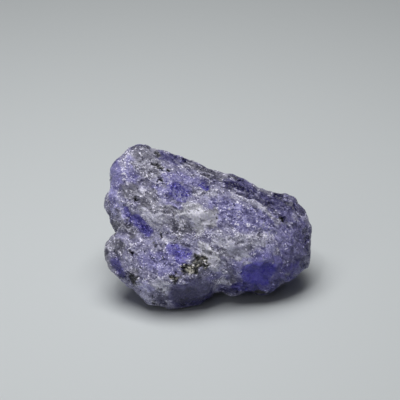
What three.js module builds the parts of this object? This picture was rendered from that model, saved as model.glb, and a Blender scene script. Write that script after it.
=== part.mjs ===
// Rough tanzanite: one broken, partly cleaved piece of blue-violet zoisite, as it comes out of the rock.
// Millimetres, +Z up. The stone lies on a small flat spot at z = 0, with its long side along X and its broad
// broken face towards -Y, leaning back.
//
// The stone is a blend of overlapping convex lumps with a few gouges cut into it. Their corners are given in
// the broad face's own axes: x along the stone, y up the face, z out of the face. A sphere of triangles is
// drawn onto the blend and spread evenly over it, and then gets chipped facets, cleavage steps, grain and
// flat faces.
import * as THREE from "three";
import { ConvexHull } from "three/addons/math/ConvexHull.js";
import { ImprovedNoise } from "three/addons/math/ImprovedNoise.js";
import { mergeVertices } from "three/addons/utils/BufferGeometryUtils.js";

// Driving dimensions
const LENGTH = 32; // the stone's length along X
const FACE_LEAN = 60; // degrees from the table up to the broad face
const GROUND = -9.6; // the table's level below the face's middle
const BLEND = 0.9; // how far apart two lumps' surfaces start to run into each other
const GOUGE_BLEND = 0.4; // the same for a gouge's rim
const GOUGE_REACH = 1.5; // how far from a gouge its surroundings are smoother

// Each lump is the convex hull of its corners.
const LUMPS = {
  shoulder: [
    [-10.9, 13.4, -0.8], [-13.3, 11.7, -0.4], [-14.9, 10.6, 0.2], [-15.5, 7.8, 0.4], [-15.1, 5.8, 0.5],
    [-7.4, 12.3, -1.2], [-4.4, 11.4, -1.6], [-2.2, 10.1, -1.8], [-10.6, 10.8, 1.9], [-13.2, 8.8, 2.6],
    [-13.0, 4.0, 3.5], [-9.0, 2.4, 4.9], [-3.4, 5.0, 4.0], [-5.0, 0.0, 5.4],
    [-13.0, 8.0, -5.5], [-12.6, 1.0, -6.5], [-7.0, 9.2, -6.5], [-3.0, 6.5, -8.0], [-5.0, -2.0, -10.5],
    [-11.5, -5.0, -3.5],
  ],
  bulge: [
    [-15.9, 4.7, 0.4], [-15.7, 2.2, 0.5], [-15.2, 0.4, 0.6], [-14.8, -0.1, 0.8], [-15.0, 5.7, 0.0],
    [-13.8, 4.8, 3.0], [-13.1, 1.2, 3.7], [-12.6, -0.6, 3.2], [-9.0, -1.5, 4.0],
    [-14.2, 3.5, -4.4], [-13.2, -1.5, -5.2], [-9.0, 3.0, -8.0], [-9.0, -5.0, -6.0],
  ],
  saddle: [
    [-9.6, 2.6, 4.6], [-7.6, -1.2, 4.6], [-3.4, -2.4, 5.5], [-1.2, -4.0, 6.0], [1.6, -3.6, 6.2],
    [-3.6, 4.2, 4.7], [1.0, 3.0, 5.2], [-9.0, 0.0, -4.0], [0.0, -6.0, -4.0], [2.0, 2.0, -4.0],
  ],
  nub: [
    [-3.4, 3.8, 4.8], [-0.4, 4.0, 5.0], [0.8, 2.0, 6.3], [-1.2, 1.1, 6.8], [-3.5, 1.9, 6.2], [-1.5, 2.5, 0.0],
  ],
  toe: [
    [-14.9, -0.8, 3.0], [-16.2, -3.5, 3.2], [-15.3, -6.3, 3.1], [-12.6, -8.8, 3.6], [-10.0, -10.8, 3.6],
    [-8.3, -12.1, 3.2], [-5.1, -12.8, 3.0], [-2.8, -12.4, 2.8], [-1.2, -11.6, 2.6], [0.6, -10.4, 2.0],
    [-13.4, -1.6, 4.7], [-8.2, -2.4, 5.7], [-3.0, -4.4, 6.7], [-0.6, -6.6, 6.7],
    [-12.2, -7.0, 5.9], [-8.4, -8.6, 7.4], [-4.2, -8.1, 8.0], [-0.6, -8.0, 7.0], [0.9, -8.8, 4.8],
    [-12.0, -3.0, -4.0], [-9.0, -11.2, 0.0], [-7.5, -12.2, 1.2], [-4.0, -12.6, 0.6], [-6.0, -11.6, -1.2],
    [-1.5, -11.4, -0.2], [0.0, -9.0, -3.0],
  ],
  nest: [
    [-3.5, -5.4, 7.2], [-2.0, -4.5, 7.2], [-0.6, -4.7, 7.2], [-0.2, -6.2, 7.3], [-1.6, -7.2, 8.2],
    [-3.6, -7.2, 8.1], [-2.0, -6.0, 4.0],
  ],
  plate: [
    [-8.5, 8.6, 2.4], [-4.0, 7.8, 2.6], [-1.4, 6.2, 3.9], [2.6, 5.8, 4.1], [4.8, 5.6, 4.1], [7.3, 4.8, 4.1],
    [9.6, 3.2, 3.8], [11.5, 0.8, 3.4], [12.2, -2.0, 3.1], [-5.5, 1.0, 5.3], [1.5, 0.2, 5.8], [7.5, -0.2, 5.2],
    [0.0, 0.0, -4.0], [9.0, -2.0, -4.0],
  ],
  belly: [
    [-2.2, -0.6, 6.1], [2.2, -0.2, 7.0], [8.0, -0.4, 6.2], [10.9, -1.6, 4.9], [11.6, -4.2, 4.3],
    [7.6, -5.4, 5.8], [1.6, -6.6, 6.4], [-0.8, -4.6, 6.6], [0.8, -9.4, 3.2], [3.8, -9.9, 1.4],
    [0.0, -9.0, -4.0], [10.0, -8.0, -2.0],
  ],
  ridge: [
    [-4.6, 11.1, -1.8], [0.3, 9.2, -1.8], [3.4, 8.6, -1.6], [6.4, 7.2, -1.6], [8.6, 5.9, -1.6],
    [-3.0, 8.2, 1.2], [3.0, 6.8, 0.9], [7.8, 5.2, 0.7], [10.0, 3.6, 0.6],
    [-4.0, 7.5, -7.0], [3.0, 5.5, -8.0], [9.0, 3.0, -7.5], [0.0, -4.0, -11.0], [8.0, -4.5, -10.0],
  ],
  rump: [
    [7.8, 6.1, -2.4], [11.5, 5.6, -2.2], [13.7, 4.5, -2.0], [15.2, 2.8, -1.6], [15.9, 0.5, -1.0],
    [16.2, -2.3, -0.6], [15.7, -5.7, -0.6], [14.6, -6.9, -0.6], [12.8, -8.1, -0.4], [10.8, -9.3, 0.0],
    [9.6, 3.3, 1.0], [12.6, 1.5, 2.0], [13.4, -1.6, 3.2], [13.2, -4.6, 3.6], [11.4, -4.9, 4.3],
    [13.2, -6.6, 2.8], [11.5, 4.0, -6.0], [14.5, 0.5, -5.0], [14.6, -4.0, -4.8], [11.0, -1.0, -9.0],
    [11.0, -6.0, -6.5],
  ],
  window: [
    [5.6, -5.7, 5.3], [8.6, -5.2, 5.2], [11.0, -5.9, 4.2], [12.6, -7.4, 2.4], [10.6, -9.6, 1.4],
    [9.3, -11.7, 1.0], [8.2, -11.2, 1.4], [10.6, -10.6, 1.3], [6.8, -10.0, 2.0], [4.8, -8.4, 4.2],
    [4.9, -6.8, 4.9], [7.0, -6.0, -3.0],
  ],
  knob: [
    [2.6, -8.8, 3.4], [4.2, -8.6, 4.2], [5.8, -9.4, 3.4], [6.5, -11.2, 2.4], [4.6, -11.3, 1.8],
    [2.0, -11.0, 1.6], [3.5, -7.0, -1.0],
  ],
  heel: [
    [-10.0, 4.0, -7.5], [-11.5, -1.0, -7.0], [-7.0, 3.0, -9.0], [-2.0, 1.5, -10.5], [-8.0, -4.0, -8.5],
    [3.0, -1.0, -10.8], [-4.5, -5.6, -10.4], [4.0, -5.9, -10.2], [8.0, -5.0, -9.0], [-1.0, -6.8, -9.0],
    [6.0, -8.4, -3.5], [0.0, -2.0, 0.0],
  ],
  sole: [
    [-8.5, -8.4, -4.6], [5.0, -8.6, -4.6], [-6.0, -10.6, 0.0], [3.5, -9.9, -0.4], [-5.0, -6.4, -8.2],
    [5.5, -6.6, -7.6], [0.0, -2.0, -2.0],
  ],
  core: [
    [-11.0, 5.0, 0.0], [-11.0, -5.0, 0.0], [12.0, 2.0, 0.0], [12.0, -6.0, 0.0], [0.0, 0.0, 5.0],
    [0.0, 0.0, -8.0], [-6.0, -6.0, 4.0], [7.0, -6.0, 3.0],
  ],
};

// Gouges cut into the blend: round-ended channels from one point to another, with a radius
const GOUGES = [
  { from: [-16.6, -0.7, 2.6], to: [-13.6, -1.1, 4.9], radius: 0.45 }, // between the bulge and the toe
  { from: [7.7, 5.5, 2.7], to: [12.3, -0.6, 2.9], radius: 0.5 }, // under the plate's edge
  { from: [1.5, -8.7, 5.4], to: [2.0, -9.9, 2.4], radius: 0.6 }, // between the toe and the belly
  { from: [-7.7, 9.6, 1.7], to: [-7.9, 9.4, 0.8], radius: 0.5 }, // pit near the peak
];

// Flat cleavage faces: the surface within a radius of a line is pressed towards a plane facing the given way.
const FLATS = [
  { from: [-12.8, 3.0, 3.6], to: [-8.0, -0.9, 4.6], radius: 1.3, facing: [-0.4, -0.2, 0.9] },
  { from: [-7.2, -2.4, 5.6], to: [-2.4, -4.6, 6.6], radius: 1.4, facing: [0.1, 0.45, 0.88] },
  { from: [-6.2, -10.2, 5.8], to: [-1.0, -9.7, 5.6], radius: 2.0, facing: [0.15, -0.6, 0.78] },
  { from: [6.4, -7.4, 4.4], to: [10.4, -7.1, 3.6], radius: 2.2, facing: [0.2, -0.35, 0.91] },
  { from: [-14.4, 9.2, 1.0], to: [-14.4, 6.2, 1.6], radius: 1.5, facing: [-0.7, 0.1, 0.7] },
  { from: [-5.4, 6.0, 3.2], to: [-3.4, 4.6, 4.3], radius: 1.5, facing: [0.1, 0.5, 0.86] },
  { from: [-9.0, 6.5, -6.8], to: [-4.0, 5.5, -7.8], radius: 2.4, facing: [-0.1, 0.55, -0.83] },
  { from: [-1.0, 2.6, -9.6], to: [4.0, 2.0, -9.6], radius: 2.2, facing: [0.1, 0.45, -0.89] },
  { from: [12.0, 1.5, -5.5], to: [12.5, -3.5, -6.0], radius: 2.2, facing: [0.6, 0.1, -0.8] },
  { from: [-12.0, 2.0, -6.0], to: [-10.5, -2.5, -6.5], radius: 2.0, facing: [-0.75, 0.1, -0.65] },
];
const FLAT_SHARE = 0.9; // how much of the way to its plane a flat face's surface is pressed
const RAGGED = { size: 2, share: 0.45 }; // how a flat face's outline wanders

// Relief over the blend, each kind with its size across and its height
const CHIPS = { size: 3.4, height: 0.42, seed: 304 };
const SMALL_CHIPS = { size: 1.6, height: 0.2, seed: 1372 };
const CLEAVAGE_STEPS = { across: new THREE.Vector3(0.55, 0.8, 0.25).normalize(), size: 1.9, height: 0.22 };
const STEP_TREAD = 0.8; // the share of each step that is tread; the rest is its riser
const STEP_DRIFT = { size: 6, share: 0.9 }; // how the steps wander
const GRAIN = { size: 1.1, height: 0.14 };

// How the sphere of triangles is drawn onto the blend
const SPHERE_DETAIL = 20; // splits along each edge of the icosahedron
const SPINE = { halfLength: 6.5, depth: -1.5 }; // the line inside the stone that the sphere shrinks towards
const START_RADIUS = 24;
const LANDING_STEPS = 60;
const SPREAD_ROUNDS = 30;
const SPREAD_SHARE = 0.6; // how far a corner moves towards its neighbours' middle in a round
const SLOPE_STEP = 0.04; // the distance that the surface's slope is measured over

const noise = new ImprovedNoise();

function noiseAt(point, size) {
  return noise.noise(point.x / size, point.y / size, point.z / size);
}

// The outward planes of a convex hull, each with its unit normal and its distance from the origin
function hullPlanes(corners) {
  const hull = new ConvexHull().setFromPoints(corners.map((corner) => new THREE.Vector3(...corner)));
  return hull.faces.map((face) => ({ normal: face.normal.clone(), distance: face.constant }));
}

// A function that gives a point's distance from the line between two ends
function distanceFromLine({ from, to }) {
  const line = new THREE.Line3(new THREE.Vector3(...from), new THREE.Vector3(...to));
  const nearest = new THREE.Vector3();
  return (point) => line.closestPointToPoint(point, true, nearest).distanceTo(point);
}

const SOLIDS = Object.values(LUMPS).map(hullPlanes);
const CHANNELS = GOUGES.map((gouge) => ({ distanceTo: distanceFromLine(gouge), radius: gouge.radius }));

// The lesser of two distances, rounded over where they are closer than the blend
function blendedLeast(a, b, blend) {
  const overlap = Math.max(blend - Math.abs(a - b), 0);
  return Math.min(a, b) - (overlap * overlap) / (4 * blend);
}

// Distance out from the blend, or a little less: negative inside it
function outside(point) {
  let distance = Infinity;
  for (const planes of SOLIDS) {
    let most = -Infinity;
    for (const plane of planes) most = Math.max(most, plane.normal.dot(point) - plane.distance);
    distance = blendedLeast(distance, most, BLEND);
  }
  for (const { distanceTo, radius } of CHANNELS)
    distance = -blendedLeast(-distance, distanceTo(point) - radius, GOUGE_BLEND);
  return distance;
}

// Outward unit normal of the blend near a point
function outwardNormal(point) {
  const here = outside(point);
  const slopeAlong = (axis) => {
    const beside = point.clone();
    beside[axis] += SLOPE_STEP;
    return outside(beside) - here;
  };
  return new THREE.Vector3(slopeAlong("x"), slopeAlong("y"), slopeAlong("z")).normalize();
}

// For each corner of a geometry, the corners that a triangle's edge joins it to
function neighbours(geometry) {
  const beside = Array.from({ length: geometry.getAttribute("position").count }, () => new Set());
  const index = geometry.getIndex().array;
  for (let i = 0; i < index.length; i += 3) {
    const [a, b, c] = index.subarray(i, i + 3);
    beside[a].add(b).add(c);
    beside[b].add(c).add(a);
    beside[c].add(a).add(b);
  }
  return beside.map((corners) => [...corners]);
}

// Brings a corner of the unit sphere in from outside to the blend's surface
function landOnSurface(direction) {
  const spinePoint = new THREE.Vector3(SPINE.halfLength * direction.x, 0, SPINE.depth);
  const point = spinePoint.addScaledVector(direction, START_RADIUS);
  for (let i = 0; i < LANDING_STEPS; i++) point.addScaledVector(direction, -outside(point));
  return point;
}

// Spreads the points evenly over the blend: each moves to its neighbours' middle, then back to the surface.
function spreadEvenly(points, beside) {
  for (let round = 0; round < SPREAD_ROUNDS; round++)
    points.forEach((point, i) => {
      const middle = new THREE.Vector3();
      for (const j of beside[i]) middle.addScaledVector(points[j], 1 / beside[i].length);
      point.lerp(middle, SPREAD_SHARE);
      point.addScaledVector(outwardNormal(point), -outside(point));
    });
}

// Repeatable random numbers from 0 to 1 for a cell of a lattice
function cellRandom(cell, seed) {
  THREE.MathUtils.seededRandom(7919 * cell.x + 104729 * cell.y + 1299709 * cell.z + seed);
  return () => THREE.MathUtils.seededRandom();
}

// Height, about -1 to 1, of a surface broken into flat chips, each sloping its own way around a random point
function chips(point, { size, seed }) {
  const place = point.clone().divideScalar(size);
  const home = place.clone().floor();
  let nearest = Infinity;
  let height = 0;
  for (let i = 0; i < 27; i++) {
    const cell = new THREE.Vector3((i % 3) - 1, (Math.floor(i / 3) % 3) - 1, Math.floor(i / 9) - 1).add(home);
    const random = cellRandom(cell, seed);
    const away = place.clone().sub(cell).sub(new THREE.Vector3(random(), random(), random()));
    if (away.lengthSq() >= nearest) continue;
    nearest = away.lengthSq();
    const slope = new THREE.Vector3(random() - 0.5, random() - 0.5, random() - 0.5);
    height = 2 * slope.dot(away) + 0.9 * (random() - 0.5);
  }
  return height;
}

// Height, -0.5 to 0.5, of a staircase of gentle treads and steep risers across the cleavage
function cleavageSteps(point) {
  const drift = STEP_DRIFT.share * noiseAt(point, STEP_DRIFT.size);
  const along = point.dot(CLEAVAGE_STEPS.across) / CLEAVAGE_STEPS.size + drift;
  const part = along - Math.floor(along);
  return Math.min(part / STEP_TREAD, (1 - part) / (1 - STEP_TREAD)) - 0.5;
}

// Height of the surface over the blend: it fades out towards the gouges, which stay clean.
function relief(point) {
  const height =
    CHIPS.height * chips(point, CHIPS) +
    SMALL_CHIPS.height * chips(point, SMALL_CHIPS) +
    CLEAVAGE_STEPS.height * cleavageSteps(point) +
    GRAIN.height * noiseAt(point, GRAIN.size);
  const toGouge = Math.min(...CHANNELS.map(({ distanceTo, radius }) => distanceTo(point) - radius));
  return height * THREE.MathUtils.smoothstep(toGouge, -0.5 * GOUGE_REACH, GOUGE_REACH);
}

// Presses the points near a flat face's line towards their own mean plane
function pressFlat(points, flat) {
  const facing = new THREE.Vector3(...flat.facing).normalize();
  const distanceTo = distanceFromLine(flat);
  const shares = points.map((point) => {
    const ragged = 1 + RAGGED.share * noiseAt(point, RAGGED.size);
    return 1 - THREE.MathUtils.smoothstep((ragged * distanceTo(point)) / flat.radius, 0.8, 1.05);
  });
  const total = shares.reduce((sum, share) => sum + share, 0);
  const level = points.reduce((sum, point, i) => sum + shares[i] * point.dot(facing), 0) / total;
  points.forEach((point, i) => {
    point.addScaledVector(facing, FLAT_SHARE * shares[i] * (level - point.dot(facing)));
  });
}

function stoneGeometry() {
  const sphere = new THREE.IcosahedronGeometry(1, SPHERE_DETAIL);
  sphere.deleteAttribute("normal");
  sphere.deleteAttribute("uv");
  const geometry = mergeVertices(sphere, 1e-5);
  const corners = geometry.getAttribute("position");
  const points = [];
  for (let i = 0; i < corners.count; i++)
    points.push(landOnSurface(new THREE.Vector3().fromBufferAttribute(corners, i)));
  spreadEvenly(points, neighbours(geometry));
  for (const point of points) point.addScaledVector(outwardNormal(point), relief(point));
  for (const flat of FLATS) pressFlat(points, flat);
  points.forEach((point, i) => corners.setXYZ(i, point.x, point.y, point.z));
  return geometry;
}

// Leans the stone back, lays its underside flat on the table, and brings it to its length over the origin
function standOnTable(geometry) {
  geometry.rotateX(THREE.MathUtils.degToRad(FACE_LEAN));
  const corners = geometry.getAttribute("position");
  for (let i = 0; i < corners.count; i++) corners.setZ(i, Math.max(corners.getZ(i) - GROUND, 0));
  geometry.computeBoundingBox();
  const middle = geometry.boundingBox.getCenter(new THREE.Vector3());
  const scale = LENGTH / (geometry.boundingBox.max.x - geometry.boundingBox.min.x);
  geometry.translate(-middle.x, -middle.y, 0);
  geometry.scale(scale, scale, scale);
  geometry.computeVertexNormals();
  return geometry;
}

const stone = new THREE.Mesh(
  standOnTable(stoneGeometry()),
  new THREE.MeshStandardMaterial({ color: 0x6a6698, roughness: 0.45, metalness: 0 }),
);
stone.name = "tanzanite_stone";

const part = new THREE.Group();
part.add(stone);
export default part;
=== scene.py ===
"""Rough tanzanite: the plain solid, given its grains, cleavage faces, colours and gloss.

Metres, in the solid's own frame. Places on the stone are given in millimetres in the axes of its broad
broken face, as in the part's own source: x along the stone, y up the face, z out of the face.
"""

import math

import bpy
import numpy as np
from mathutils import Euler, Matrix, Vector, noise


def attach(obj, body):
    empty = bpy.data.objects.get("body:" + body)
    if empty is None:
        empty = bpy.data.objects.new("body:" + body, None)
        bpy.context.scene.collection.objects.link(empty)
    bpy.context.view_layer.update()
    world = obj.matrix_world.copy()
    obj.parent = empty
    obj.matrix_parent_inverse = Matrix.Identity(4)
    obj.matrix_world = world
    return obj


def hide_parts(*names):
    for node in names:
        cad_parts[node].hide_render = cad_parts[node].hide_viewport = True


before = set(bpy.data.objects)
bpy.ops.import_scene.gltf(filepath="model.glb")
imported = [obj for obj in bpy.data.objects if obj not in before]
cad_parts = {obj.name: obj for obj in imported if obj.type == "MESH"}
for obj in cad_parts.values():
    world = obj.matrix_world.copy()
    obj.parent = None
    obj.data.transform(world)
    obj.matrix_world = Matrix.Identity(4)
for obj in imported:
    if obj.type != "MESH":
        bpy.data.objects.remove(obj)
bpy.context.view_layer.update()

MM = 0.001
NODE = "tanzanite_stone"

# ---------------------------------------------------------------- the broad face's axes

FACE_LEAN = math.radians(60)  # from the table up to the broad face
FACE_MIDDLE = np.array([-0.24, 0.18, 9.51])  # mm, in the solid's own frame
FACE_X = np.array([1.0, 0.0, 0.0])
FACE_Y = np.array([0.0, math.cos(FACE_LEAN), math.sin(FACE_LEAN)])
FACE_Z = np.array([0.0, -math.sin(FACE_LEAN), math.cos(FACE_LEAN)])
TO_FACE = np.stack([FACE_X, FACE_Y, FACE_Z])

# The cleavage shows as lines that run down and to the right over the broad face.
GRAIN_LINE = np.array([0.80, -0.60, 0.0])

# ---------------------------------------------------------------- kinds of crystal
# Each kind has its darkest and its lightest tone and how much bluer than red it is, as display values, and
# then its grit, which is how much fine sparkling grain it has. The rest of the stone is like BODY.

BODY = (0.46, 0.66, 0.110, 0.9)
KINDS = {
    "lilac": (0.44, 0.65, 0.175, 0.85),  # lavender-blue grains
    "slate": (0.34, 0.53, 0.160, 0.35),  # dull blue-grey
    "grey": (0.45, 0.66, 0.065, 0.8),  # striped grey rock
    "pale": (0.60, 0.80, 0.080, 0.8),  # whitish, sparkling crust
    "milky": (0.60, 0.80, 0.044, 0.5),  # white with hardly a tint
    "ink": (0.24, 0.42, 0.150, 0.4),  # dark violet
    "violet": (0.26, 0.44, 0.220, 0.4),  # between that and the clear crystal
    "blue": (0.24, 0.42, 0.275, 0.8),  # clear, well coloured crystal
    "deep": (0.18, 0.36, 0.375, 0.15),  # the deepest coloured crystal
    "smoke": (0.18, 0.34, 0.160, 0.2),  # dark, smooth blue-grey
    "dark": (0.06, 0.20, 0.045, 0.8),  # graphite in pits and cracks
}
SMOOTH_KINDS = {"blue": 0.5, "deep": 1.0, "smoke": 1.0}  # kinds with cleaner edges, and how smooth they are
GREENER = -0.08  # how much greener than red a colour is, as a share of its blueness
DISPLAY_GAMMA = 2.2
NEST_COLOURS = ((0.005, 0.005, 0.006), (0.600, 0.575, 0.500))  # graphite to dull brass, linear

# ---------------------------------------------------------------- places on the broad face
# Each place is a line from one (x, y) to another and a radius, in mm, seen square on to the face.

PLACES = {
    "lilac": {
        "left crystal": ((-14.4, 9.7), (-13.9, 6.3), 1.1),
        "ridge foot": ((-11.6, 10.0), (-11.4, 7.8), 1.0),
        "bulge": ((-14.4, 5.0), (-14.2, 2.4), 0.5),
        "upper middle": ((-6.2, 7.8), (-1.0, 7.2), 0.8),
        "patch rim": ((-7.6, 6.2), (-6.4, 5.2), 0.9),
        "patch side": ((-3.4, 6.8), (-2.8, 5.2), 0.6),
        "under patch": ((-6.0, 3.5), (-3.8, 3.0), 0.6),
        "strip side": ((-13.2, 3.2), (-12.8, 2.0), 0.5),
        "toe top": ((-8.8, -4.9), (-5.4, -5.6), 1.5),
        "toe base": ((-9.4, -8.8), (-8.4, -8.8), 0.7),
        "grainy blue": ((1.7, 2.8), (9.0, 0.9), 1.9),
        "belly side": ((6.0, -4.5), (9.6, -3.0), 0.8),
        "belly foot": ((0.8, -7.0), (2.4, -7.6), 0.9),
        "belly end": ((0.2, -4.8), (0.6, -5.4), 0.6),
        "toe brow": ((-4.8, -8.6), (-4.0, -9.0), 0.7),
        "right middle": ((10.8, 0.2), (12.0, -4.0), 1.1),
        "window side": ((4.4, -4.6), (5.1, -7.8), 0.8),
    },
    "slate": {
        "right end": ((13.8, -0.6), (13.6, -5.2), 1.7),
        "terrace end": ((10.6, 3.4), (12.2, 1.8), 1.0),
        "foot side": ((2.2, -9.0), (4.0, -9.6), 0.8),
        "ledge back": ((10.4, 0.0), (11.2, -2.4), 0.6),
    },
    "grey": {
        "peak": ((-10.4, 12.2), (-8.2, 10.6), 1.4),
        "peak slope": ((-10.0, 10.0), (-8.6, 8.6), 1.4),
        "peak foot": ((-12.2, 5.6), (-9.0, 4.8), 1.1),
        "stripes": ((-9.0, 3.4), (-4.0, 0.2), 1.7),
        "rim": ((-3.4, 9.9), (3.4, 7.8), 0.7),
        "outer rim": ((3.4, 8.0), (8.2, 6.0), 0.3),
        "far rim": ((8.2, 6.0), (11.4, 5.2), 0.3),
        "belly": ((1.8, -3.4), (4.6, -4.0), 0.75),
        "toe end": ((-15.0, -1.8), (-13.4, -3.0), 1.1),
        "toe left": ((-16.2, -2.4), (-15.2, -6.0), 1.1),
        "strip foot": ((-13.6, 0.4), (-11.6, -0.4), 0.8),
        "toe middle": ((-11.8, -6.4), (-11.2, -6.6), 0.7),
        "nest edge": ((0.4, -3.6), (1.2, -5.6), 0.9),
    },
    "pale": {
        "white patch": ((-10.2, 5.9), (-9.5, 5.7), 0.4),
        "nub crest": ((-1.8, 5.4), (1.0, 5.6), 0.6),
        "strip edge": ((-9.4, 2.4), (-7.5, 0.3), 0.65),
        "strip lip": ((-6.6, -1.7), (-5.4, -2.0), 0.45),
        "band": ((1.2, -1.9), (8.2, -1.5), 0.9),
        "pebble": ((1.3, -0.5), (2.2, -1.0), 0.45),
        "belly": ((4.2, -3.1), (5.4, -3.1), 1.1),
        "ledge": ((3.8, 5.0), (7.6, 3.8), 0.45),
        "ledge end": ((7.6, 3.8), (10.4, 0.9), 0.4),
        "toe crest": ((-11.9, -2.3), (-10.9, -3.5), 0.25),
        "toe brow": ((-7.8, -8.3), (-6.2, -8.9), 0.9),
        "foot ledge": ((1.6, -8.0), (3.8, -8.3), 0.5),
    },
    "milky": {
        "nub": ((-3.2, 2.6), (0.2, 1.8), 1.2),
        "nub foot": ((-1.4, 1.0), (-1.0, -0.4), 0.8),
        "band foot": ((-0.8, -2.6), (0.6, -4.2), 0.9),
    },
    "ink": {
        "top band": ((-7.0, 11.3), (-3.8, 10.4), 0.7),
        "under ledge": ((8.3, 5.0), (9.6, 4.0), 0.5),
        "terrace": ((3.4, 7.2), (6.8, 5.8), 0.8),
        "right top": ((10.8, 4.1), (12.8, 3.2), 0.8),
        "under nest": ((-3.2, -7.6), (-1.6, -7.7), 0.35),
    },
    "violet": {
        "window foot": ((7.0, -8.6), (10.2, -9.4), 0.8),
        "right foot": ((11.2, -7.2), (12.8, -7.8), 0.8),
        "window brow": ((7.4, -4.9), (10.4, -4.6), 0.75),
        "window end": ((10.6, -5.8), (10.4, -7.8), 0.8),
        "right low": ((11.6, -6.6), (14.0, -6.2), 0.9),
        "toe side": ((-14.0, -4.8), (-12.8, -6.6), 0.7),
    },
    "blue": {
        "strip start": ((-12.4, 2.9), (-12.1, 2.2), 0.4),
        "strip": ((-11.0, 1.4), (-9.2, -0.4), 0.8),
        "lower strip": ((-5.5, -3.0), (-3.2, -3.8), 0.85),
        "nest side": ((-4.4, -4.6), (-3.4, -5.6), 0.6),
        "top patch": ((-5.0, 6.0), (-4.0, 5.2), 1.15),
        "second patch": ((-0.9, 6.6), (-0.2, 6.1), 0.35),
        "window top": ((6.2, -5.8), (8.2, -5.6), 0.6),
        "dark foot": ((4.2, -8.9), (7.2, -9.1), 0.7),
    },
    "deep": {
        "window": ((6.4, -6.7), (8.8, -6.4), 1.4),
        "window foot": ((6.8, -7.8), (8.6, -8.0), 0.6),
    },
    "smoke": {
        "toe front": ((-4.0, -10.2), (-1.0, -9.8), 1.9),
    },
    "dark": {
        "peak pit": ((-7.9, 9.7), (-7.0, 9.2), 0.32),
        "peak spot": ((-7.9, 11.6), (-7.5, 11.3), 0.2),
        "upper spot": ((-7.5, 7.3), (-7.1, 7.2), 0.2),
        "middle spot": ((-6.2, 9.1), (-5.9, 9.0), 0.2),
        "crack one": ((-7.2, -0.6), (-7.1, -1.2), 0.14),
        "crack two": ((-8.1, -2.2), (-7.7, -2.8), 0.18),
        "notch crack": ((-14.8, -0.5), (-14.2, -0.8), 0.28),
        "left spot": ((-11.1, 4.5), (-10.9, 4.2), 0.2),
        "toe spot": ((-11.9, -3.5), (-11.5, -3.7), 0.2),
        "toe corner": ((-11.8, -7.2), (-11.3, -8.1), 0.45),
        "toe base": ((-8.4, -11.2), (-8.2, -11.4), 0.2),
        "nest corner": ((-5.2, -7.2), (-4.8, -8.0), 0.3),
        "ledge groove": ((11.0, 1.8), (11.4, 1.4), 0.16),
        # painted shadow: dark graphite laid along the lower edge of the foot, where the stone's shadow falls
        "painted foot shadow": ((7.0, -9.9), (9.4, -10.1), 0.3),
    },
}
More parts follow.
